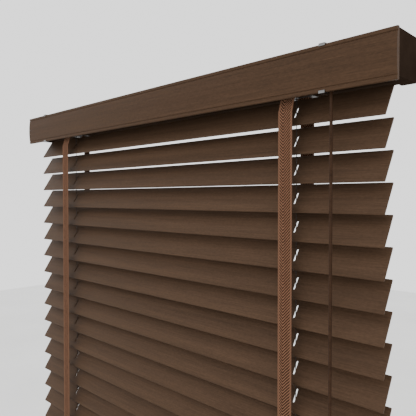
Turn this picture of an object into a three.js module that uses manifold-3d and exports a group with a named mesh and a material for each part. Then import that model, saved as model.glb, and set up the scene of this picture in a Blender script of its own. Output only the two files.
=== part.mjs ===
// Wooden venetian blind with woven ladder tapes, a wooden valance and a tilt wand.
//
// Frame: X runs along the slats, -Y faces the room, +Z is up, and the units are millimetres.
// The origin is the middle of the mounting plane, on top of the two end brackets.

import * as THREE from "three";
import { mergeVertices } from "three/addons/utils/BufferGeometryUtils.js";
import Module from "manifold-3d";

// Driving dimensions
const clearance = 0.4;

const slatInset = 19.5;
const slatWidth = 50;
const slatThickness = 3;
const slatCount = 18;
const slatPitch = 43;
const slatEdgeRadius = 1.2;
const restTilt = THREE.MathUtils.degToRad(58);

const ladderInset = 163;
const tapeWidth = 24.5;
const tapeThickness = 1.2;
const tapeReach = 29.5;
const tapeReachAtHeadrail = 21.5;
const tapeBendDrop = 26.6;
const tapeTopInHeadrail = 8;
const frontTapeEnd = -20;
const rearTapeEnd = 10;

const slotLength = 21.5;
const slotWidth = 4.5;
const cordRadius = 0.7;

const headrailLength = 964;
const headrailDepth = 60;
const headrailFront = -28.5;
const headrailHeight = 55.5;
const headrailWall = 1;
const headrailLip = 5;
const topSlatDrop = 24.4;

const bracketWall = 1.5;
const bracketWidth = 20;
const screwHoleRadius = 2.2;

const valanceOverhang = 6;
const valanceHeight = 64.8;
const valanceThickness = 7;
const valanceTopDrop = 2;
const valanceStandoff = 4.3;
const valanceCrown = 1.6;
const valanceLipHeight = 6;
const valanceGroove = 0.8;

const clipWidth = 9.5;
const clipWall = 1;
const clipLip = 2.8;
const clipTail = 2.6;
const clipLeftInset = 79;
const clipRightInset = 97;

const rodSize = 6;
const rodDrop = 27;
const rodBoreRadius = 4.8;
const drumRadius = 11;
const drumLength = 24;

const cradleLength = 52;
const cradlePlate = 2;
const cradleUpright = 3;
const cradleCollar = 0.5;
const cradleMargin = 2.5;
const tapeWindowInner = 12;
const tapeWindowOuter = 24.5;

const tilterInset = 88;
const tilterLength = 26;
const tilterHeight = 38;
const tilterBack = 14;
const wormTilt = THREE.MathUtils.degToRad(26.6);
const wormRadius = 3;
const wormLength = 18;
const wormNeckLength = 4;
const wormNeckRadius = 0.8;
const wormBallRadius = 2.1;

const wandY = -29;
const wandBallDrop = 3.1;
const wandRadius = 2.3;
const wandLength = 560;
const wandGripRadius = 3.2;
const wandGripLength = 60;
const wandCapRadius = 3.3;
const wandCapBore = 2.6;
const wandCapRise = 1.5;
const wandCapDrop = 5;

const railThickness = 16;
const railDrop = 43;
const railEdgeRadius = 3;
const plugRadius = 7;
const plugFlange = 1.6;
const plugStemRadius = 4;
const plugStemLength = 6;

// Derived places
const headrailTop = -(bracketWall + clearance);
const headrailFloor = headrailTop - headrailHeight;
const headrailBack = headrailFront + headrailDepth;
const headrailEnd = headrailLength / 2;
const topSlatZ = headrailFloor - topSlatDrop;
const lastSlatZ = topSlatZ - slatPitch * (slatCount - 1);
const railZ = lastSlatZ - railDrop;
const tapeTop = headrailFloor + tapeTopInHeadrail;
const tapeBend = headrailFloor - tapeBendDrop;
const valanceBack = headrailFront - valanceStandoff;
const valanceFront = valanceBack - valanceThickness;
const valanceTop = -valanceTopDrop;
const valanceBottom = valanceTop - valanceHeight;
const ladders = [
  { side: "left", x: ladderInset - headrailEnd },
  { side: "right", x: headrailEnd - ladderInset },
];
const slatLength = headrailLength - 2 * slatInset;
const valanceLength = headrailLength + 2 * valanceOverhang;
const tilterX = headrailEnd - tilterInset;
const wandBallZ = headrailFloor - wandBallDrop;

// Materials
const finish = (color, roughness, metalness) =>
  new THREE.MeshStandardMaterial({ color, roughness, metalness });
const wood = () => finish(0x58453a, 0.55, 0);
const woven = () => finish(0x6d4d3c, 0.9, 0);
const steel = () => finish(0xa8a8a6, 0.35, 0.9);
const paintedSteel = () => finish(0x3d3029, 0.5, 0.5);
const plastic = () => finish(0x2c2521, 0.5, 0);
const cordFinish = () => finish(0x3a2c24, 0.85, 0);

const blind = new THREE.Group();

function place(name, geometry, material, position = [0, 0, 0], rotationX = 0) {
  const mesh = new THREE.Mesh(geometry, material);
  mesh.name = name;
  mesh.position.set(...position);
  mesh.rotation.x = rotationX;
  blind.add(mesh);
}

// Solids
const wasm = await Module();
wasm.setup();

function toSolid(geometry) {
  const bare = geometry.clone();
  bare.deleteAttribute("normal");
  bare.deleteAttribute("uv");
  const merged = mergeVertices(bare, 1e-4);
  const vertProperties = Float32Array.from(merged.attributes.position.array);
  const triVerts = Uint32Array.from(merged.index.array);
  return new wasm.Manifold(new wasm.Mesh({ numProp: 3, vertProperties, triVerts }));
}

function toGeometry(solid) {
  const mesh = solid.getMesh();
  const geometry = new THREE.BufferGeometry();
  geometry.setAttribute("position", new THREE.BufferAttribute(mesh.vertProperties, 3));
  geometry.setIndex(new THREE.BufferAttribute(mesh.triVerts, 1));
  geometry.computeVertexNormals();
  return geometry;
}

function box(x, y, z) {
  const geometry = new THREE.BoxGeometry(x[1] - x[0], y[1] - y[0], z[1] - z[0]);
  geometry.translate((x[0] + x[1]) / 2, (y[0] + y[1]) / 2, (z[0] + z[1]) / 2);
  return toSolid(geometry);
}

// A cylinder along X, or along Z, centred on a point.
function cylinderX(radius, length, center, sides = 24) {
  const geometry = new THREE.CylinderGeometry(radius, radius, length, sides);
  geometry.rotateZ(Math.PI / 2);
  geometry.translate(...center);
  return toSolid(geometry);
}

function cylinderZ(radius, length, center, sides = 24) {
  const geometry = new THREE.CylinderGeometry(radius, radius, length, sides);
  geometry.rotateX(Math.PI / 2);
  geometry.translate(...center);
  return toSolid(geometry);
}

// An outline of [y, z] points, extruded along X and centred on it.
function prism(outline, length) {
  const shape = new THREE.Shape(outline.map(([y, z]) => new THREE.Vector2(y, z)));
  const geometry = new THREE.ExtrudeGeometry(shape, { depth: length, bevelEnabled: false });
  geometry.translate(0, 0, -length / 2);
  geometry.applyMatrix4(new THREE.Matrix4().set(0, 0, 1, 0, 1, 0, 0, 0, 0, 1, 0, 0, 0, 0, 0, 1));
  return geometry;
}

// The outline of a bar whose four edges are rounded.
function roundedBar(width, height, radius, steps) {
  const outline = [];
  const corners = [[1, 1, 0], [-1, 1, 1], [-1, -1, 2], [1, -1, 3]];
  for (const [sideY, sideZ, quarter] of corners) {
    for (let step = 0; step <= steps; step += 1) {
      const angle = (quarter + step / steps) * (Math.PI / 2);
      const y = sideY * (width / 2 - radius) + radius * Math.cos(angle);
      const z = sideZ * (height / 2 - radius) + radius * Math.sin(angle);
      outline.push([y, z]);
    }
  }
  return outline;
}

// Headrail: an open-topped steel channel with returned lips
function makeHeadrail() {
  const front = headrailFront;
  const back = headrailBack;
  const innerFront = front + headrailWall;
  const innerBack = back - headrailWall;
  const lipFront = front + headrailLip;
  const lipBack = back - headrailLip;
  const top = headrailTop;
  const lipUnder = top - headrailWall;
  const floor = headrailFloor;
  const floorTop = floor + headrailWall;
  const outline = [
    [front, floor], [back, floor], [back, top], [lipBack, top], [lipBack, lipUnder],
    [innerBack, lipUnder], [innerBack, floorTop], [innerFront, floorTop], [innerFront, lipUnder],
    [lipFront, lipUnder], [lipFront, top], [front, top],
  ];
  let channel = toSolid(prism(outline, headrailLength));
  const hole = [-(tapeWindowOuter + cradleMargin), tapeWindowOuter + cradleMargin];
  for (const ladder of ladders) {
    const reach = cradleLength / 2 - 2;
    const cut = box([ladder.x - reach, ladder.x + reach], hole, [floor - 1, floorTop + 1]);
    channel = channel.subtract(cut);
  }
  const notchReach = wormRadius + 2;
  const notchY = [front - 1, wandY + wormLength / 2];
  const notchZ = [floor - 1, floor + wormLength / 2];
  channel = channel.subtract(box([tilterX - notchReach, tilterX + notchReach], notchY, notchZ));
  return toGeometry(channel);
}

// End bracket: a box that holds one end of the headrail, with its front gate closed
function makeBracket(side) {
  const inside = headrailEnd + clearance;
  const outside = inside + bracketWall;
  const x = side < 0 ? [-outside, -outside + bracketWidth] : [outside - bracketWidth, outside];
  const plate = side < 0 ? [-outside, -inside] : [inside, outside];
  const front = headrailFront - clearance;
  const back = headrailBack + clearance;
  const top = headrailTop + clearance;
  const bottom = headrailFloor - clearance;
  const y = [front - bracketWall, back + bracketWall];
  const z = [bottom - bracketWall, top + bracketWall];
  let bracket = box(x, y, [top, z[1]]);
  bracket = bracket.add(box(x, y, [z[0], bottom]));
  bracket = bracket.add(box(x, [back, y[1]], z));
  bracket = bracket.add(box(x, [y[0], front], z));
  bracket = bracket.add(box(plate, y, z));
  for (const holeY of [front / 2, back / 2]) {
    const center = [(x[0] + x[1]) / 2, holeY, top];
    bracket = bracket.subtract(cylinderZ(screwHoleRadius, 4 * bracketWall, center));
  }
  return toGeometry(bracket);
}

// Valance: a wooden moulding with a crowned face, and a groove that sets off a lip at each edge
function makeValance() {
  const front = valanceFront;
  const back = valanceBack;
  const lipFront = front + valanceCrown;
  const faceTop = valanceTop - valanceLipHeight;
  const faceBottom = valanceBottom + valanceLipHeight;
  const faceHeight = faceTop - faceBottom - 2 * valanceGroove;
  const outline = [[back, valanceTop], [back, valanceBottom], [lipFront + 1, valanceBottom]];
  outline.push([lipFront, valanceBottom + 1]);
  outline.push([lipFront, faceBottom - valanceGroove]);
  outline.push([lipFront + valanceGroove, faceBottom]);
  const steps = 10;
  for (let step = 0; step <= steps; step += 1) {
    const share = step / steps;
    const rise = Math.sin(share * Math.PI) * valanceCrown;
    outline.push([lipFront - rise, faceBottom + valanceGroove + share * faceHeight]);
  }
  outline.push([lipFront + valanceGroove, faceTop]);
  outline.push([lipFront, faceTop + valanceGroove]);
  outline.push([lipFront, valanceTop - 1]);
  outline.push([lipFront + 1, valanceTop]);
  return prism(outline.reverse(), valanceLength);
}

// Valance clip: a spring-steel strip round the valance, with a foot against the headrail and a tail
function makeClip(x) {
  const reach = [x - clipWidth / 2, x + clipWidth / 2];
  const top = valanceTop + clearance;
  const bottom = valanceBottom - clearance;
  const front = valanceFront + valanceCrown - clearance;
  const back = valanceBack + clearance;
  const arm = [front - clipWall, back + clipWall];
  const lip = [front - clipWall, front];
  let clip = box(reach, arm, [top, top + clipWall]);
  const tailed = [front - clipWall, back + clipWall + clipTail];
  clip = clip.add(box(reach, tailed, [bottom - clipWall, bottom]));
  clip = clip.add(box(reach, lip, [top - clipLip, top + clipWall]));
  clip = clip.add(box(reach, lip, [bottom - clipWall, bottom + clipLip]));
  clip = clip.add(box(reach, [back, back + clipWall], [bottom - clipWall, top + clipWall]));
  const foot = [top - headrailHeight / 2, top - headrailHeight / 4];
  clip = clip.add(box(reach, [back, headrailFront - clearance], foot));
  return toGeometry(clip);
}

// Tilt rod, with one drum at each ladder
function makeRod() {
  const start = ladders[0].x - cradleLength / 2;
  const end = tilterX + tilterLength / 2 + 4;
  const half = rodSize / 2;
  return toGeometry(box([start, end], [-half, half], [-half, half]));
}

function makeDrum() {
  const half = rodSize / 2 + clearance;
  const bore = box([-drumLength, drumLength], [-half, half], [-half, half]);
  return toGeometry(cylinderX(drumRadius, drumLength, [0, 0, 0], 32).subtract(bore));
}

// Ladder cradle: a plate on the headrail floor, with tape windows, a cord hole and rod bearings
function makeCradle(ladder) {
  const x = ladder.x;
  const half = cradleLength / 2;
  const plateBottom = headrailFloor + headrailWall + clearance;
  const plateTop = plateBottom + cradlePlate;
  const plateReach = -(headrailFront + headrailWall + clearance);
  let cradle = box([x - half, x + half], [-plateReach, plateReach], [plateBottom, plateTop]);
  const collarX = half - 2 - clearance;
  const collarY = tapeWindowOuter + cradleMargin - clearance;
  const collarZ = [headrailFloor - cradleCollar, plateTop];
  cradle = cradle.add(box([x - collarX, x + collarX], [-collarY, collarY], collarZ));
  const windowZ = [headrailFloor - cradleCollar - 1, plateTop + 1];
  const windowX = tapeWidth / 2 + 1;
  const front = [-tapeWindowOuter, -tapeWindowInner];
  const rear = [tapeWindowInner, tapeWindowOuter];
  cradle = cradle.subtract(box([x - windowX, x + windowX], front, windowZ));
  cradle = cradle.subtract(box([x - windowX, x + windowX], rear, windowZ));
  const rodZ = -rodDrop;
  for (const side of [-1, 1]) {
    const near = drumLength / 2 + clearance;
    const ends = [x + side * near, x + side * (near + cradleUpright)].sort((a, b) => a - b);
    const reachY = drumRadius - 1;
    cradle = cradle.add(box(ends, [-reachY, reachY], [plateTop - 1, rodZ + drumRadius]));
  }
  cradle = cradle.subtract(cylinderX(rodBoreRadius, cradleLength, [x, 0, rodZ]));
  cradle = cradle.subtract(cylinderZ(cordRadius + 1, 6 * cradlePlate, [x, 0, plateBottom]));
  return toGeometry(cradle);
}

// Tilter: the gear housing on the rod, and the worm shaft that comes out of its front corner
function wormSolid(radius, from, to, sides = 20) {
  const geometry = new THREE.CylinderGeometry(radius, radius, to - from, sides);
  geometry.rotateX(Math.PI / 2);
  geometry.translate(0, 0, (from + to) / 2);
  geometry.rotateX(-wormTilt);
  geometry.translate(tilterX, wandY, wandBallZ);
  return toSolid(geometry);
}

function makeTilterHousing() {
  const half = tilterLength / 2;
  const bottom = headrailFloor + headrailWall + clearance;
  const front = headrailFront + headrailWall + 1;
  const z = [bottom, bottom + tilterHeight];
  let housing = box([tilterX - half, tilterX + half], [front, tilterBack], z);
  housing = housing.subtract(cylinderX(rodBoreRadius, 2 * tilterLength, [tilterX, 0, -rodDrop]));
  const bore = wormSolid(wormRadius + clearance, 0, wormNeckLength + wormLength + clearance);
  return toGeometry(housing.subtract(bore));
}

function makeWorm() {
  const ball = new THREE.SphereGeometry(wormBallRadius, 16, 10);
  ball.rotateX(Math.PI / 2 - wormTilt);
  ball.translate(tilterX, wandY, wandBallZ);
  let worm = wormSolid(wormRadius, wormNeckLength, wormNeckLength + wormLength);
  worm = worm.add(wormSolid(wormNeckRadius, 0, wormNeckLength + 1, 12));
  return toGeometry(worm.add(toSolid(ball)));
}

// Wand: a cap that swivels on the worm's ball, and the rod that hangs from it
function makeWandCap() {
  const profile = [
    [0, -wandCapDrop], [wandCapRadius - 0.5, -wandCapDrop], [wandCapRadius, -wandCapDrop + 0.5],
    [wandCapRadius, wandCapRise], [wandCapBore, wandCapRise], [wandCapBore, -wandCapBore],
    [0, -wandCapBore],
  ];
  return lathe(profile, 20);
}

function makeWand() {
  const bottom = -wandLength;
  const gripTop = bottom + wandGripLength;
  const profile = [
    [0, bottom], [wandGripRadius - 1, bottom], [wandGripRadius, bottom + 1.5],
    [wandGripRadius, gripTop], [wandRadius, gripTop + 10], [wandRadius, 0], [0, 0],
  ];
  return lathe(profile, 12);
}

// A profile of [radius, z] points, turned about the Z axis.
function lathe(profile, sides) {
  const points = profile.map(([radius, z]) => new THREE.Vector2(radius, z));
  const geometry = new THREE.LatheGeometry(points, sides);
  geometry.rotateX(Math.PI / 2);
  return toGeometry(toSolid(geometry));
}

// Slats and bottom rail
function makeSlat() {
  let slat = toSolid(prism(roundedBar(slatWidth, slatThickness, slatEdgeRadius, 2), slatLength));
  for (const ladder of ladders) {
    const x = [ladder.x - slotWidth / 2, ladder.x + slotWidth / 2];
    const y = [-slotLength / 2, slotLength / 2];
    slat = slat.subtract(box(x, y, [-slatThickness, slatThickness]));
  }
  return toGeometry(slat);
}

function makeBottomRail() {
  let rail = toSolid(prism(roundedBar(slatWidth, railThickness, railEdgeRadius, 3), slatLength));
  for (const ladder of ladders) {
    const depth = plugStemLength + clearance;
    const center = [ladder.x, 0, -railThickness / 2 + depth / 2];
    rail = rail.subtract(cylinderZ(plugStemRadius + clearance, depth + 0.002, center));
  }
  return toGeometry(rail);
}

function makePlug(ladder) {
  const under = -railThickness / 2 - clearance;
  const flange = cylinderZ(plugRadius, plugFlange, [ladder.x, 0, under - plugFlange / 2]);
  const stemLength = plugStemLength + clearance;
  const stemZ = under - plugFlange / 2 + stemLength / 2;
  return toGeometry(flange.add(cylinderZ(plugStemRadius, stemLength, [ladder.x, 0, stemZ])));
}

// Tapes: woven bands that leave the headrail, lean out past the slats' edges and hang straight
function makeTape(ladder, side, top, bottom) {
  const lean = (tapeReach - tapeReachAtHeadrail) / tapeBendDrop;
  const levels = [top, tapeBend, bottom].filter((z) => z <= top && z >= bottom);
  const middle = (z) => tapeReach - Math.max(0, z - tapeBend) * lean;
  const face = (z, offset) => [side * (middle(z) + offset), z];
  const half = tapeThickness / 2;
  const inner = levels.map((z) => face(z, -half));
  const outer = levels.map((z) => face(z, half));
  const outline = [...inner, ...outer.reverse()];
  const band = toSolid(prism(side < 0 ? outline.reverse() : outline, tapeWidth));
  return toGeometry(band.translate([ladder.x, 0, 0]));
}

function makeCord(ladder) {
  const top = headrailFloor + headrailWall + clearance + 2 * cradlePlate;
  const railTop = railZ + railThickness / 2 / Math.cos(restTilt);
  const bottom = railTop + cordRadius * Math.tan(restTilt) + clearance;
  const center = [ladder.x, 0, (top + bottom) / 2];
  return toGeometry(cylinderZ(cordRadius, top - bottom, center, 8));
}

// Assembly
place("headrail", makeHeadrail(), paintedSteel());
place("end_bracket_left", makeBracket(-1), paintedSteel());
place("end_bracket_right", makeBracket(1), paintedSteel());
place("valance", makeValance(), wood());
place("valance_clip_left", makeClip(clipLeftInset - headrailEnd), steel());
place("valance_clip_right", makeClip(headrailEnd - clipRightInset), steel());
place("tilter_housing", makeTilterHousing(), plastic());
place("tilter_worm", makeWorm(), steel());
place("wand_cap", makeWandCap(), plastic(), [tilterX, wandY, wandBallZ]);
place("tilt_wand", makeWand(), wood(), [tilterX, wandY, wandBallZ - wandCapDrop - clearance]);
place("tilt_rod", makeRod(), steel(), [0, 0, -rodDrop]);

for (const ladder of ladders) {
  place(`ladder_drum_${ladder.side}`, makeDrum(), plastic(), [ladder.x, 0, -rodDrop]);
  place(`ladder_cradle_${ladder.side}`, makeCradle(ladder), plastic());
  place(`lift_cord_${ladder.side}`, makeCord(ladder), cordFinish());
  const rearTape = makeTape(ladder, 1, tapeTop, railZ + rearTapeEnd);
  place(`tape_rear_${ladder.side}`, rearTape, woven());
  place(`rail_plug_${ladder.side}`, makePlug(ladder), plastic(), [0, 0, railZ], restTilt);
}
const frontTapeBottom = railZ + frontTapeEnd;
place("tape_front_right", makeTape(ladders[1], -1, tapeTop, frontTapeBottom), woven());

// The left front tape is in one length per slat, so that each length carries its slat.
let lengthTop = tapeTop;
for (let index = 1; index <= slatCount + 1; index += 1) {
  const level = topSlatZ - slatPitch * (index - 1);
  const isRail = index > slatCount;
  const lengthBottom = isRail ? frontTapeBottom : level;
  const number = String(index).padStart(2, "0");
  const length = makeTape(ladders[0], -1, lengthTop, lengthBottom);
  place(`tape_front_left_${number}`, length, woven());
  lengthTop = lengthBottom - clearance;
  if (!isRail) place(`slat_${number}`, makeSlat(), wood(), [0, 0, level], restTilt);
}
place("bottom_rail", makeBottomRail(), wood(), [0, 0, railZ], restTilt);

export default blind;
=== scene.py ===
import math

import bmesh
import bpy
import numpy as np
from mathutils import Matrix, Vector


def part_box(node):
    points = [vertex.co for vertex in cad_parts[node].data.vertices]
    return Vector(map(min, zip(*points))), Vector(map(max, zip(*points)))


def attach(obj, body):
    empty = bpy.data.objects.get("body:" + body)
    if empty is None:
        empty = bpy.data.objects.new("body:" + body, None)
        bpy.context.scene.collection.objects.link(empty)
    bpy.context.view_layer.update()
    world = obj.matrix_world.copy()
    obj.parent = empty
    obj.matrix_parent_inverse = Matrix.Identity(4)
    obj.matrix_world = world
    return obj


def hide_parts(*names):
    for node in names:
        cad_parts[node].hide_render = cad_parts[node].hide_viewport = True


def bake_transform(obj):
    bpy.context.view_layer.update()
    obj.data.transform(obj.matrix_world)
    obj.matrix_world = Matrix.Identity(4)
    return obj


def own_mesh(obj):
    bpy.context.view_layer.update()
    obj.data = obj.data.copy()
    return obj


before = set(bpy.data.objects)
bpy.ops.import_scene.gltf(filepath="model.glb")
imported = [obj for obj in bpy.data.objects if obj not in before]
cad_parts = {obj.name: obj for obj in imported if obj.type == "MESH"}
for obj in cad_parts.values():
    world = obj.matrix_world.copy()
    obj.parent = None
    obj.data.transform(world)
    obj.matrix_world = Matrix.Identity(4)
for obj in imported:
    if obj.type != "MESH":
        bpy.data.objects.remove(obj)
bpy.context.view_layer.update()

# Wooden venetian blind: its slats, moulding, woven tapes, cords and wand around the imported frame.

MM = 0.001

# ---------------------------------------------------------------- places taken from the frame


def middle(node):
    low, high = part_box(node)
    return [(a + b) / 2 for a, b in zip(low, high)]


def size(node):
    low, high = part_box(node)
    return [b - a for a, b in zip(low, high)]


SLATS = sorted(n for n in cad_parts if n.startswith("slat_"))
SLAT_LENGTH = size(SLATS[0])[0]
SLAT_WIDTH = 50 * MM
SLAT_THICKNESS = 3 * MM
REST_TILT = math.radians(58)
TOP_SLAT_Z = middle(SLATS[0])[2]
RAIL_Z = middle("bottom_rail")[2]
RAIL_THICKNESS = 16 * MM
SLOT_LENGTH = 21.5 * MM
SLOT_WIDTH = 4.5 * MM
HEADRAIL_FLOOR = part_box("headrail")[0][2]

TAPE_WIDTH = size("tape_front_right")[0]
TAPE_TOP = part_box("tape_front_right")[1][2]
TAPE_Y = -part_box("tape_front_right")[0][1] - 0.6 * MM
TAPE_Y_AT_HEADRAIL = 21.5 * MM
TAPE_BEND_Z = HEADRAIL_FLOOR - 26.6 * MM
RAIL_TAKE_UP = {"front": 2 * MM, "rear": 34 * MM}
LADDERS = {side: middle(f"lift_cord_{side}")[0] for side in ("left", "right")}

TWILL_PITCH = 4.5 * MM
TWILL_SLOPE = 1.05
TWILL_FOLD = -TAPE_WIDTH / 7
YARN_PITCH = 2.2 * MM
WEAVE_DEPTH = 0.14 * MM
SELVEDGE = 2.4 * MM
THREAD_RADIUS = 0.15 * MM


# ---------------------------------------------------------------- material helpers

class Nodes:
    """A small builder for one node material."""

    def __init__(self, name):
        self.material = bpy.data.materials.new(name)
        self.material.use_nodes = True
        self.tree = self.material.node_tree
        self.shader = self.tree.nodes["Principled BSDF"]

    def add(self, kind, **settings):
        node = self.tree.nodes.new(kind)
        for key, value in settings.items():
            setattr(node, key, value)
        return node

    def link(self, source, target):
        self.tree.links.new(source, target)

    def fill(self, socket, value):
        if isinstance(value, bpy.types.NodeSocket):
            self.link(value, socket)
        else:
            socket.default_value = value

    def math(self, operation, first, second=0.0, third=0.0):
        node = self.add("ShaderNodeMath", operation=operation)
        for socket, value in zip(node.inputs, (first, second, third)):
            self.fill(socket, value)
        return node.outputs[0]

    def place(self, scale):
        """The object's own coordinates, scaled along each axis."""
        mapping = self.add("ShaderNodeMapping")
        mapping.inputs["Scale"].default_value = scale
        self.link(self.add("ShaderNodeTexCoord").outputs["Object"], mapping.inputs["Vector"])
        return mapping.outputs[0]

    def noise(self, scale, detail=3.0, roughness=0.55, distortion=0.0):
        """Noise with scale grains per metre along each axis."""
        node = self.add("ShaderNodeTexNoise")
        self.link(self.place(scale), node.inputs["Vector"])
        node.inputs["Scale"].default_value = 1.0
        node.inputs["Detail"].default_value = detail
        node.inputs["Roughness"].default_value = roughness
        node.inputs["Distortion"].default_value = distortion
        return node.outputs["Fac"]

    def ramp(self, factor, *stops):
        node = self.add("ShaderNodeValToRGB")
        elements = node.color_ramp.elements
        while len(elements) < len(stops):
            elements.new(0.5)
        for element, (position, color) in zip(elements, stops):
            element.position = position
            element.color = (*color, 1.0)
        self.link(factor, node.inputs["Fac"])
        return node.outputs["Color"]

    def span(self, factor, low, high, start=0.0, end=1.0):
        node = self.add("ShaderNodeMapRange")
        self.link(factor, node.inputs["Value"])
        node.inputs["From Min"].default_value = start
        node.inputs["From Max"].default_value = end
        node.inputs["To Min"].default_value = low
        node.inputs["To Max"].default_value = high
        return node.outputs["Result"]

    def mix(self, factor, first, second):
        node = self.add("ShaderNodeMix", data_type="RGBA")
        self.fill(node.inputs[0], factor)
        self.fill(node.inputs[6], first)
        self.fill(node.inputs[7], second)
        return node.outputs[2]

    def bump(self, height, strength, distance):
        node = self.add("ShaderNodeBump")
        node.inputs["Strength"].default_value = strength
        node.inputs["Distance"].default_value = distance
        self.link(height, node.inputs["Height"])
        self.link(node.outputs["Normal"], self.shader.inputs["Normal"])

    def finish(self, color, roughness, metallic=0.0, specular=0.5, sheen=0.0):
        self.fill(self.shader.inputs["Base Color"], color)
        self.fill(self.shader.inputs["Roughness"], roughness)
        self.shader.inputs["Metallic"].default_value = metallic
        self.shader.inputs["Specular IOR Level"].default_value = specular
        self.shader.inputs["Sheen Weight"].default_value = sheen
        return self.material


def wood(name, tone, contrast=1.0, cross=1.0):
    """Stained wood with straight grain along X: faint bands, fine streaks and short dark pores."""
    nodes = Nodes(name)
    bands = nodes.noise((1.6, 70 * cross, 70 * cross), detail=3, distortion=0.3)
    streaks = nodes.noise((16, 900 * cross, 900 * cross), detail=4, roughness=0.65)
    pores = nodes.noise((130, 2100, 2100), detail=2, roughness=0.5)
    flecks = nodes.noise((190, 420, 420), detail=3)
    grain = nodes.math("ADD", nodes.math("MULTIPLY", bands, 0.3), nodes.math("MULTIPLY", streaks, 0.45))
    grain = nodes.math("MULTIPLY_ADD", flecks, 0.25, grain)
    dark, light = (tuple(part * (1 + side * 0.42 * contrast) for part in tone) for side in (-1, 1))
    stained = nodes.ramp(grain, (0.36, dark), (0.5, tone), (0.64, light))
    open_pore = nodes.span(pores, 0.0, 0.5, 0.60, 0.70)
    color = nodes.mix(open_pore, stained, (*dark, 1.0))
    nodes.bump(nodes.math("SUBTRACT", nodes.math("MULTIPLY", streaks, 0.5), open_pore), 0.3, 0.0001)
    return nodes.finish(color, nodes.span(streaks, 0.46, 0.62, 0.3, 0.7), specular=0.06)


def woven(name, dark, mid, light):
    """Twill tape with a turned-back stripe at one side. Its colour is painted shade in the weave's
    grooves and painted highlight on its ribs, over the yarn's own random tone. Its UV map is in metres,
    across and along.
    """
    nodes = Nodes(name)
    uv = nodes.add("ShaderNodeUVMap", uv_map="weave").outputs[0]
    split = nodes.add("ShaderNodeSeparateXYZ")
    nodes.link(uv, split.inputs[0])
    across, along = split.outputs[0], split.outputs[1]
    fuzz = nodes.noise((900, 900, 900), detail=4, roughness=0.7)
    slub = nodes.noise((240, 240, 120), detail=3)
    fold = nodes.math("ABSOLUTE", nodes.math("SUBTRACT", across, TWILL_FOLD))
    line = nodes.math("MULTIPLY_ADD", fold, TWILL_SLOPE, along)
    wander = nodes.math("MULTIPLY_ADD", slub, 1.6 * MM, -0.8 * MM)
    turns = nodes.math("MULTIPLY", nodes.math("ADD", line, wander), 2 * math.pi / TWILL_PITCH)
    twill = nodes.math("SINE", turns)
    yarn = nodes.math("SINE", nodes.math("MULTIPLY", across, 2 * math.pi / YARN_PITCH))
    relief = nodes.math("MULTIPLY_ADD", yarn, 0.22, nodes.math("MULTIPLY", twill, 0.42))
    value = nodes.math("ADD", nodes.math("ADD", relief, 0.5), nodes.math("MULTIPLY_ADD", fuzz, 0.2, -0.1))
    value = nodes.math("ADD", value, nodes.math("MULTIPLY_ADD", slub, 0.3, -0.15))
    # The ramp paints shade where the weave's relief sinks and highlight where it rises; fuzz and slub add
    # the yarn's own tone.
    tone = nodes.ramp(value, (0.1, dark), (0.55, mid), (0.9, light))
    column = nodes.math("ABSOLUTE", across)
    inner = TAPE_WIDTH / 2 - SELVEDGE
    edge = nodes.span(column, 0.0, 0.8, inner - SELVEDGE / 2, inner)
    selvedge = nodes.ramp(nodes.math("MULTIPLY_ADD", fuzz, 0.6, 0.2), (0.2, mid), (0.8, light))
    color = nodes.mix(edge, tone, selvedge)
    nodes.bump(value, 0.5, 0.00025)
    return nodes.finish(color, nodes.span(fuzz, 0.78, 0.98), specular=0.05)


def braided(name, dark, light):
    """A thin braided cord. Its colour is painted shade where the braid's bands sink and painted highlight
    where they rise, over the yarn's own random tone.
    """
    nodes = Nodes(name)
    turn = nodes.add("ShaderNodeTexWave", wave_type="BANDS", bands_direction="DIAGONAL")
    nodes.link(nodes.place((900, 900, 420)), turn.inputs["Vector"])
    turn.inputs["Scale"].default_value = 0.3
    turn.inputs["Distortion"].default_value = 1.2
    fuzz = nodes.noise((1500, 1500, 1500), detail=2)
    value = nodes.math("MULTIPLY_ADD", fuzz, 0.4, turn.outputs["Fac"])
    # Darker where the braid sinks and lighter where it rises: painted shade and highlight; fuzz adds the
    # yarn's own tone.
    color = nodes.ramp(nodes.math("MULTIPLY", value, 0.7), (0.1, dark), (0.9, light))
    nodes.bump(value, 0.5, 0.0002)
    return nodes.finish(color, nodes.span(fuzz, 0.7, 0.9), specular=0.25, sheen=0.2)


def brushed(name, color_low, color_high, roughness):
    """Metal with fine drawn lines and a faint cloudiness."""
    nodes = Nodes(name)
    lines = nodes.noise((30, 1800, 1800), detail=4, roughness=0.6)
    cloud = nodes.noise((40, 40, 40), detail=3)
    color = nodes.ramp(lines, (0.3, color_low), (0.7, color_high))
    rough = nodes.math("ADD", nodes.span(lines, roughness - 0.06, roughness + 0.08, 0.3, 0.7),
                       nodes.math("MULTIPLY_ADD", cloud, 0.1, -0.05))
    nodes.bump(lines, 0.15, 0.00005)
    return nodes.finish(color, rough, metallic=1.0, specular=0.5)


def enamel(name, base, worn, roughness):
    """Stove enamel on steel: a fine orange-peel, dust in the colour and slightly worn tones."""
    nodes = Nodes(name)
    peel = nodes.noise((700, 700, 700), detail=2)
    cloud = nodes.noise((14, 30, 30), detail=4)
    speck = nodes.noise((2600, 2600, 2600), detail=1)
    tone = nodes.ramp(cloud, (0.3, base), (0.75, worn))
    color = nodes.mix(nodes.span(speck, 0.0, 0.25, 0.62, 0.75), tone, (*worn, 1.0))
    nodes.bump(peel, 0.12, 0.0001)
    rough = nodes.span(cloud, roughness - 0.06, roughness + 0.08, 0.3, 0.7)
    return nodes.finish(color, rough, specular=0.0)


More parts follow.
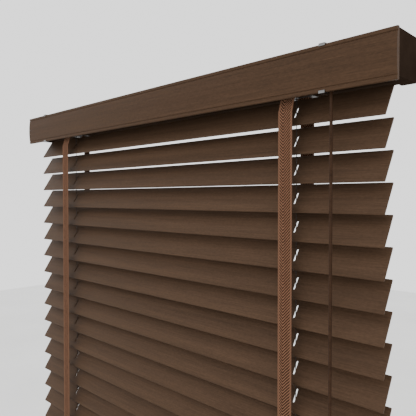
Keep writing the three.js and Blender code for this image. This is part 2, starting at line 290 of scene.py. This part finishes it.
def moulded(name, base, light):
    """Moulded plastic with a spark-eroded texture."""
    nodes = Nodes(name)
    grain = nodes.noise((1400, 1400, 1400), detail=3)
    cloud = nodes.noise((45, 45, 45), detail=2)
    color = nodes.ramp(nodes.math("MULTIPLY_ADD", cloud, 0.7, nodes.math("MULTIPLY", grain, 0.3)),
                       (0.35, base), (0.65, light))
    nodes.bump(grain, 0.25, 0.00008)
    return nodes.finish(color, nodes.span(grain, 0.42, 0.6, 0.3, 0.7), specular=0.45)


WOOD_TONE = (0.061, 0.0355, 0.0210)
# The valance is the slats' wood, with its tone darkened as painted shade.
SHADED_VALANCE_TONE = (0.052, 0.0290, 0.0163)
WAND_TONE = (0.034, 0.0175, 0.0098)

materials = {
    "slat": wood("stained slat wood", WOOD_TONE, contrast=0.75),
    "valance": wood("stained valance wood with painted shade", SHADED_VALANCE_TONE, contrast=0.8, cross=1.4),
    "wand": wood("stained wand wood", WAND_TONE),
    "tape": woven("twill tape", (0.008, 0.004, 0.002), (0.074, 0.034, 0.018), (0.205, 0.106, 0.065)),
    "thread": braided("cross threads", (0.020, 0.010, 0.006), (0.075, 0.038, 0.022)),
    "cord": braided("braided lift cord", (0.010, 0.006, 0.004), (0.030, 0.019, 0.013)),
    "clip": brushed("spring steel", (0.12, 0.12, 0.12), (0.24, 0.24, 0.235), 0.32),
    "rod": brushed("zinc-plated steel", (0.36, 0.37, 0.38), (0.55, 0.55, 0.55), 0.34),
    "enamel": enamel("brown enamelled steel", (0.016, 0.010, 0.007), (0.026, 0.017, 0.012), 0.6),
    "plastic": moulded("dark moulded plastic", (0.018, 0.014, 0.012), (0.032, 0.025, 0.021)),
}


# ---------------------------------------------------------------- mesh helpers

def new_piece(name, mesh, key):
    obj = bpy.data.objects.new(name, mesh)
    bpy.context.scene.collection.objects.link(obj)
    obj.data.materials.clear()
    obj.data.materials.append(materials[key])
    return obj


def piece(name, mesh, key, body, slot, *nodes):
    """A visible piece that rides on one body and stands in for the given CAD nodes."""
    obj = new_piece(name, mesh, key)
    if nodes:
        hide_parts(*nodes)
    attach(obj, body)
    return obj


def smooth(mesh, angle):
    """Smooth shading, with edges sharper than angle (in degrees) kept crisp."""
    mesh.polygons.foreach_set("use_smooth", [True] * len(mesh.polygons))
    mesh.set_sharp_from_angle(angle=math.radians(angle))
    mesh.update()
    return mesh


def outward(points, faces):
    """A closed mesh whose faces all point out."""
    mesh = bpy.data.meshes.new("shape")
    mesh.from_pydata(points, [], faces)
    bm = bmesh.new()
    bm.from_mesh(mesh)
    bmesh.ops.recalc_face_normals(bm, faces=bm.faces)
    bm.to_mesh(mesh)
    bm.free()
    return mesh


def grid_tube(rings):
    """A closed mesh from a list of rings, each a list of as many points."""
    count = len(rings[0])
    faces = []
    for i in range(len(rings) - 1):
        for j in range(count):
            k = (j + 1) % count
            faces.append((i * count + j, i * count + k, (i + 1) * count + k, (i + 1) * count + j))
    last = (len(rings) - 1) * count
    faces.append(tuple(range(count)))
    faces.append(tuple(last + j for j in range(count)))
    return outward([p for ring in rings for p in ring], faces)


def rounded_bar(width, height, radius, steps):
    outline = []
    corners = ((1, 1), (-1, 1), (-1, -1), (1, -1))
    for quarter, (side_y, side_z) in enumerate(corners):
        for step in range(steps + 1):
            angle = (quarter + step / steps) * math.pi / 2
            outline.append((side_y * (width / 2 - radius) + radius * math.cos(angle),
                            side_z * (height / 2 - radius) + radius * math.sin(angle)))
    return outline


def bar(length, outline, end_round):
    """An outline of (y, z) extruded along X, with its ends eased by end_round."""
    half_y = max(y for y, _ in outline)
    half_z = max(z for _, z in outline)
    ends = []
    for step in range(5):
        angle = step / 4 * math.pi / 2
        inset = 0.8 * end_round * (1 - math.cos(angle))
        ends.append((length / 2 - end_round * (1 - math.sin(angle)), inset))
    stations = [(-x, inset) for x, inset in reversed(ends)] + ends
    rings = []
    for x, inset in stations:
        shrink_y, shrink_z = 1 - inset / half_y, 1 - inset / half_z
        rings.append([(x, y * shrink_y, z * shrink_z) for y, z in outline])
    return grid_tube(rings)


def cut_slots(mesh, centres, length, width, depth):
    """Cuts round-ended slots through a flat bar, at each X in centres."""
    body = bpy.data.objects.new("body", mesh)
    bpy.context.scene.collection.objects.link(body)
    cutters = []
    for x in centres:
        ring = []
        for side, start in ((1, 0), (-1, 1)):
            for step in range(9):
                angle = (start + step / 8) * math.pi
                end_y = side * (length - width) / 2
                ring.append((x + width / 2 * math.cos(angle), end_y + width / 2 * math.sin(angle)))
        rings = [[(px, py, z) for px, py in ring] for z in (-depth, depth)]
        cutter = bpy.data.objects.new("cutter", grid_tube(rings))
        bpy.context.scene.collection.objects.link(cutter)
        modifier = body.modifiers.new("slot", "BOOLEAN")
        modifier.operation = "DIFFERENCE"
        modifier.solver = "EXACT"
        modifier.object = cutter
        cutters.append(cutter)
    depsgraph = bpy.context.evaluated_depsgraph_get()
    result = bpy.data.meshes.new_from_object(body.evaluated_get(depsgraph))
    for obj in (body, *cutters):
        bpy.data.objects.remove(obj)
    return result


def tilted(mesh, z):
    """A copy of a flat mesh, turned to the rest tilt and put at height z."""
    copy = mesh.copy()
    copy.transform(Matrix.Translation((0, 0, z)) @ Matrix.Rotation(REST_TILT, 4, "X"))
    return copy


# ---------------------------------------------------------------- slats and bottom rail

def add_slats():
    flat = bar(SLAT_LENGTH, rounded_bar(SLAT_WIDTH, SLAT_THICKNESS, 1.3 * MM, 4), 0.8 * MM)
    flat = cut_slots(flat, LADDERS.values(), SLOT_LENGTH, SLOT_WIDTH, 4 * MM)
    smooth(flat, 40)
    for node in SLATS:
        piece(f"{node}_wood", tilted(flat, middle(node)[2]), "slat", node, "slat_wood", node)


def add_bottom_rail():
    flat = bar(SLAT_LENGTH, rounded_bar(SLAT_WIDTH, RAIL_THICKNESS, 3 * MM, 6), 1.2 * MM)
    smooth(flat, 40)
    piece("bottom_rail_wood", tilted(flat, RAIL_Z), "slat", "bottom_rail", "rail_wood", "bottom_rail")


# ---------------------------------------------------------------- valance

def valance_outline(low, high):
    """The moulding's section: a crowned face between two grooves, with a rounded lip at each edge."""
    front, back = low[1], high[1]
    lip = 1.6 * MM
    lip_height = 6 * MM
    lip_round = 1.2 * MM
    back_round = 0.6 * MM
    groove = 0.9 * MM
    outline = []
    lip_front = front + lip

    def arc(cy, cz, radius, start, end, steps=6):
        for step in range(steps + 1):
            angle = math.radians(start + (end - start) * step / steps)
            outline.append((cy + radius * math.cos(angle), cz + radius * math.sin(angle)))

    arc(back - back_round, high[2] - back_round, back_round, 0, 90, 3)
    arc(lip_front + lip_round, high[2] - lip_round, lip_round, 90, 180)
    outline.append((lip_front, high[2] - lip_height + 1.1 * MM))
    outline.append((lip_front + groove, high[2] - lip_height + 0.35 * MM))
    outline.append((lip_front + groove, high[2] - lip_height - 0.25 * MM))
    top, bottom = high[2] - lip_height - groove, low[2] + lip_height + groove
    for step in range(29):
        share = step / 28
        rise = lip * (math.sin(share * math.pi)) ** 0.8
        outline.append((lip_front - rise, top + (bottom - top) * share))
    outline.append((lip_front + groove, low[2] + lip_height + 0.25 * MM))
    outline.append((lip_front + groove, low[2] + lip_height - 0.35 * MM))
    outline.append((lip_front, low[2] + lip_height - 1.1 * MM))
    arc(lip_front + lip_round, low[2] + lip_round, lip_round, 180, 270)
    arc(back - back_round, low[2] + back_round, back_round, 270, 360, 3)
    return outline


def add_valance():
    low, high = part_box("valance")
    outline = valance_outline(low, high)
    rings = []
    for share in (0.0, 0.25, 0.5, 0.75, 1.0):
        x = low[0] + (high[0] - low[0]) * share
        rings.append([(x, y, z) for y, z in outline])
    mesh = smooth(grid_tube(rings), 32)
    piece("valance_moulding", mesh, "valance", "headrail_unit", "valance_wood", "valance")


# ---------------------------------------------------------------- tapes

def weave_relief(across, along):
    twill = np.sin((along + TWILL_SLOPE * np.abs(across - TWILL_FOLD)) * 2 * np.pi / TWILL_PITCH)
    inside = np.clip((TAPE_WIDTH / 2 - SELVEDGE - np.abs(across)) / (SELVEDGE / 2), 0, 1)
    return WEAVE_DEPTH * twill * inside


def band(path, x, start_along=0.0):
    """A woven band whose middle line follows path, a list of (y, z). Returns its mesh and its length."""
    thickness = 0.9 * MM
    row_height = 0.7 * MM
    columns = 24
    points = np.array(path, float)
    lengths = np.concatenate([[0], np.cumsum(np.hypot(*np.diff(points, axis=0).T))])
    rows = max(2, int(lengths[-1] / row_height) + 1)
    along = np.linspace(0, lengths[-1], rows)
    y = np.interp(along, lengths, points[:, 0])
    z = np.interp(along, lengths, points[:, 1])
    turn_y, turn_z = np.gradient(y, along), np.gradient(z, along)
    scale = np.hypot(turn_y, turn_z)
    normal_y, normal_z = turn_z / scale, -turn_y / scale
    across = np.linspace(-TAPE_WIDTH / 2, TAPE_WIDTH / 2, columns)
    grid = []
    for side in (1, -1):
        for row in range(rows):
            relief = weave_relief(across, start_along + along[row])
            height = side * (thickness / 2 - WEAVE_DEPTH + relief)
            surface_y, surface_z = y[row] + normal_y[row] * height, z[row] + normal_z[row] * height
            grid.append(np.stack([x + across, surface_y, surface_z], 1))
    faces = []

    def at(side, column, row):
        return (side * rows + row) * columns + column

    for row in range(rows - 1):
        for column in range(columns - 1):
            for side in (0, 1):
                faces.append((at(side, column, row), at(side, column + 1, row),
                              at(side, column + 1, row + 1), at(side, column, row + 1)))
        for column in (0, columns - 1):
            faces.append((at(0, column, row), at(0, column, row + 1),
                          at(1, column, row + 1), at(1, column, row)))
    for row in (0, rows - 1):
        for column in range(columns - 1):
            faces.append((at(0, column, row), at(1, column, row),
                          at(1, column + 1, row), at(0, column + 1, row)))
    mesh = outward(np.concatenate(grid).tolist(), faces)
    corners = np.empty(len(mesh.loops), int)
    mesh.loops.foreach_get("vertex_index", corners)
    pairs = np.stack([across[corners % columns], start_along + along[(corners // columns) % rows]], 1)
    mesh.uv_layers.new(name="weave").data.foreach_set("uv", pairs.ravel())
    mesh.polygons.foreach_set("use_smooth", [True] * len(mesh.polygons))
    return mesh, float(lengths[-1])


def eased(start, end, share):
    return start + (end - start) * (3 * share * share - 2 * share ** 3)


def hanging_path(side_y, z_from, z_to):
    """The middle line of a tape: leaning out below the headrail, then straight down."""
    path = []
    lean = (TAPE_Y - TAPE_Y_AT_HEADRAIL) / (HEADRAIL_FLOOR - TAPE_BEND_Z)
    for step in range(25):
        z = z_from + (z_to - z_from) * step / 24
        above = z - TAPE_BEND_Z
        soft = 0.5 * (above + math.hypot(above, 6 * MM)) - 0.4 * MM
        path.append((side_y * (TAPE_Y - max(0.0, soft) * lean), z))
    return path


def add_tapes():
    """Four tapes, each with a fixed top, a straight length down to the bottom rail, and a fastened end.
    """
    numbers = range(2, len(SLATS) + 2)
    carriers = [f"tape_front_left_{number:02d}" for number in numbers]
    for side, x in LADDERS.items():
        for place, side_y in (("front", -1), ("rear", 1)):
            whole = f"tape_{place}_{side}"
            split = side == "left" and place == "front"
            top_nodes = ["tape_front_left_01"] if split else []
            low_nodes = carriers if split else [whole]
            mesh, length = band(hanging_path(side_y, TAPE_TOP, TOP_SLAT_Z), x)
            top = piece(f"woven_{whole}_top", mesh, "tape", "headrail_unit", "woven_tape", *top_nodes)

            end_z = RAIL_Z + RAIL_TAKE_UP[place]
            straight = [(side_y * TAPE_Y, TOP_SLAT_Z), (side_y * TAPE_Y, end_z)]
            mesh, drop = band(straight, x, length)
            low = piece(f"woven_{whole}", mesh, "tape", "headrail_unit", "woven_tape", *low_nodes)
            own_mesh(low)
            add_tape_end(f"woven_{whole}_end", x, side_y, end_z, length + drop)


def on_rail(y, z):
    """A point of the bottom rail's own section, at the rest tilt."""
    turned = Matrix.Rotation(REST_TILT, 2) @ Vector((y, z))
    return turned.x, RAIL_Z + turned.y


def add_tape_end(name, x, side_y, start_z, start_along):
    """The tape's last stretch: in to the bottom rail, round its edge and tacked underneath."""
    gap = 0.75 * MM
    corner = 3 * MM
    edge = side_y * SLAT_WIDTH / 2
    path = [(side_y * TAPE_Y, start_z)]
    touch = on_rail(edge + side_y * gap, (corner if side_y < 0 else -1 * MM))
    for step in range(1, 9):
        share = step / 8
        path.append((eased(path[0][0], touch[0], share), start_z + (touch[1] - start_z) * share))
    for step in range(7):
        angle = math.radians(15 * step)
        reach = corner + gap
        path.append(on_rail(edge - side_y * (corner - reach * math.cos(angle)),
                            corner - RAIL_THICKNESS / 2 - reach * math.sin(angle)))
    path.append(on_rail(edge - side_y * 13 * MM, -RAIL_THICKNESS / 2 - gap))
    mesh, length = band(path, x, start_along)
    end = new_piece(name, mesh, "tape")
    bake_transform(end)


def thread_path(z, side_y):
    """From the tape to the slat's edge, then along the slat's underside to its centre line."""
    under = -SLAT_THICKNESS / 2 - THREAD_RADIUS - 0.03 * MM
    turned = Matrix.Rotation(REST_TILT, 2)
    path = [Vector((side_y * (TAPE_Y - 0.3 * MM), z))]
    edge = turned @ Vector((side_y * (SLAT_WIDTH / 2 + 0.3 * MM), under))
    edge.y += z
    for step in range(1, 6):
        share = step / 6
        sag = math.sin(share * math.pi) * 1.2 * MM
        path.append(path[0].lerp(edge, share) - Vector((0, sag)))
    path.append(edge)
    for step in range(1, 9):
        local = Vector((side_y * SLAT_WIDTH / 2 * (1 - step / 8), under))
        path.append(turned @ local + Vector((0, z)))
    return path


def add_cross_threads():
    """The ladder's cross threads, which each slat lies on: two at each side of its slot."""
    offsets = (-SLOT_WIDTH / 2 - 2.6 * MM, -SLOT_WIDTH / 2 - 1.2 * MM,
               SLOT_WIDTH / 2 + 1.2 * MM, SLOT_WIDTH / 2 + 2.6 * MM)
    for node in SLATS:
        number = node[-2:]
        z = middle(node)[2]
        for place, side_y in (("front", -1), ("rear", 1)):
            verts, faces = [], []
            path = thread_path(z, side_y)
            for x in LADDERS.values():
                for offset in offsets:
                    add_thread(verts, faces, x + offset, path)
            mesh = smooth(outward(verts, faces), 60)
            threads = new_piece(f"cross_threads_{number}_{place}", mesh, "thread")
            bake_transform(threads)


def add_thread(verts, faces, x, path):
    """Adds one closed six-sided thread along path, at x."""
    sides = 6
    first = len(verts)
    for index, point in enumerate(path):
        ahead = path[min(index + 1, len(path) - 1)] - path[max(index - 1, 0)]
        normal = Vector((-ahead.y, ahead.x)).normalized()
        for side in range(sides):
            angle = side / sides * 2 * math.pi
            out = point + normal * (THREAD_RADIUS * math.sin(angle))
            verts.append((x + THREAD_RADIUS * math.cos(angle), out.x, out.y))
    for ring in range(len(path) - 1):
        for side in range(sides):
            here, beside = first + ring * sides + side, first + ring * sides + (side + 1) % sides
            faces.append((here, beside, beside + sides, here + sides))
    faces.append(tuple(first + side for side in range(sides)))
    last = first + (len(path) - 1) * sides
    faces.append(tuple(last + side for side in range(sides)))


# ---------------------------------------------------------------- cords and wand

def add_cords():
    for side, x in LADDERS.items():
        node = f"lift_cord_{side}"
        low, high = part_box(node)
        length = high[2] - low[2]
        turns = 520
        rings = []
        for turn in range(turns + 1):
            z = high[2] - length * turn / turns
            ring = []
            for corner in range(8):
                angle = corner / 8 * 2 * math.pi
                radius = 0.64 * MM + 0.06 * MM * math.sin(angle * 2 + turn * math.pi / 2.6)
                ring.append((x + radius * math.cos(angle), radius * math.sin(angle), z))
            rings.append(ring)
        mesh = smooth(grid_tube(rings), 80)
        braid = piece(f"{node}_braid", mesh, "cord", "headrail_unit", "lift_cord", node)
        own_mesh(braid)


def add_wand():
    low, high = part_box("tilt_wand")
    x, y = middle("tilt_wand")[:2]
    grip = (high[0] - low[0]) / 2
    thin = 2.3 * MM
    length = high[2] - low[2]
    profile = [(0.4 * grip, 0), (0.75 * grip, 0.5 * MM), (0.95 * grip, 1.6 * MM), (grip, 3.2 * MM)]
    for i in range(9):
        share = i / 8
        profile.append((grip - 0.35 * MM * math.sin(share * math.pi), (6 + 50 * share) * MM))
    for i in range(1, 9):
        profile.append((eased(grip, thin, i / 8), (56 + 16 * i / 8) * MM))
    profile += [(thin, length * share) for share in (0.3, 0.5, 0.7, 0.9)]
    profile += [(thin, length - 0.8 * MM), (thin - 0.5 * MM, length - 0.2 * MM), (0.5 * thin, length)]
    rings = []
    for radius, height in profile:
        ring = []
        for j in range(32):
            angle = j / 32 * 2 * math.pi
            ring.append((x + radius * math.cos(angle), y + radius * math.sin(angle), low[2] + height))
        rings.append(ring)
    piece("tilt_wand_wood", smooth(grid_tube(rings), 45), "wand", "tilt_wand", "wand_wood", "tilt_wand")


# ---------------------------------------------------------------- hardware kept from the frame

def dress_hardware():
    looks = {
        "headrail": "enamel", "end_bracket_left": "enamel", "end_bracket_right": "enamel",
        "valance_clip_left": "clip", "valance_clip_right": "clip",
        "tilt_rod": "rod", "tilter_worm": "rod",
        "tilter_housing": "plastic", "wand_cap": "plastic",
        "ladder_drum_left": "plastic", "ladder_drum_right": "plastic",
        "ladder_cradle_left": "plastic", "ladder_cradle_right": "plastic",
        "rail_plug_left": "plastic", "rail_plug_right": "plastic",
    }
    for node, key in looks.items():
        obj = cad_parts[node]
        for slot in obj.material_slots:
            slot.material = materials[key]
        edge = obj.modifiers.new("eased edges", "BEVEL")
        edge.width = 0.25 * MM
        edge.segments = 2
        edge.limit_method = "ANGLE"
        edge.angle_limit = math.radians(40)


# ---------------------------------------------------------------- stage, light and camera

def add_stage():
    mesh = bpy.data.meshes.new("floor")
    reach = 6.0
    z = -1.5
    corners = [(-reach, -reach, z), (reach, -reach, z), (reach, reach, z), (-reach, reach, z)]
    mesh.from_pydata(corners, [], [(0, 1, 2, 3)])
    floor = bpy.data.objects.new("floor", mesh)
    bpy.context.scene.collection.objects.link(floor)
    nodes = Nodes("pale floor")
    cloud = nodes.noise((1.5, 1.5, 1.5))
    tone = nodes.ramp(cloud, (0.3, (0.78, 0.78, 0.77)), (0.7, (0.84, 0.84, 0.83)))
    floor.data.materials.append(nodes.finish(tone, 0.8, specular=0.2))


def add_light(name, location, target, reach, power):
    data = bpy.data.lights.new(name, "AREA")
    data.shape = "RECTANGLE"
    data.size, data.size_y = reach
    data.energy = power
    light = bpy.data.objects.new(name, data)
    light.location = location
    direction = Vector(target) - Vector(location)
    light.rotation_euler = direction.to_track_quat("-Z", "Y").to_euler()
    bpy.context.scene.collection.objects.link(light)


def add_lighting():
    world = bpy.data.worlds.new("studio")
    world.use_nodes = True
    world.node_tree.nodes["Background"].inputs["Color"].default_value = (1.0, 1.0, 1.0, 1.0)
    world.node_tree.nodes["Background"].inputs["Strength"].default_value = 1.7
    bpy.context.scene.world = world
    add_light("key", (0.4, -2.2, 1.3), (0, 0, -0.4), (1.8, 1.2), 8)
    add_light("fill", (-1.8, -1.5, 0.3), (0, 0, -0.4), (1.5, 1.5), 2)


def add_camera():
    data = bpy.data.cameras.new("camera")
    data.sensor_width = 36
    data.lens = 41.17
    camera = bpy.data.objects.new("camera", data)
    camera.location = (0.7275, -0.6089, -0.2108)
    camera.rotation_euler = (math.radians(90 - 1.146), 0, math.radians(44.37))
    bpy.context.scene.collection.objects.link(camera)
    bpy.context.scene.camera = camera


add_camera()
add_stage()
add_lighting()
add_slats()
add_bottom_rail()
add_valance()
add_tapes()
add_cross_threads()
add_cords()
add_wand()
dress_hardware()
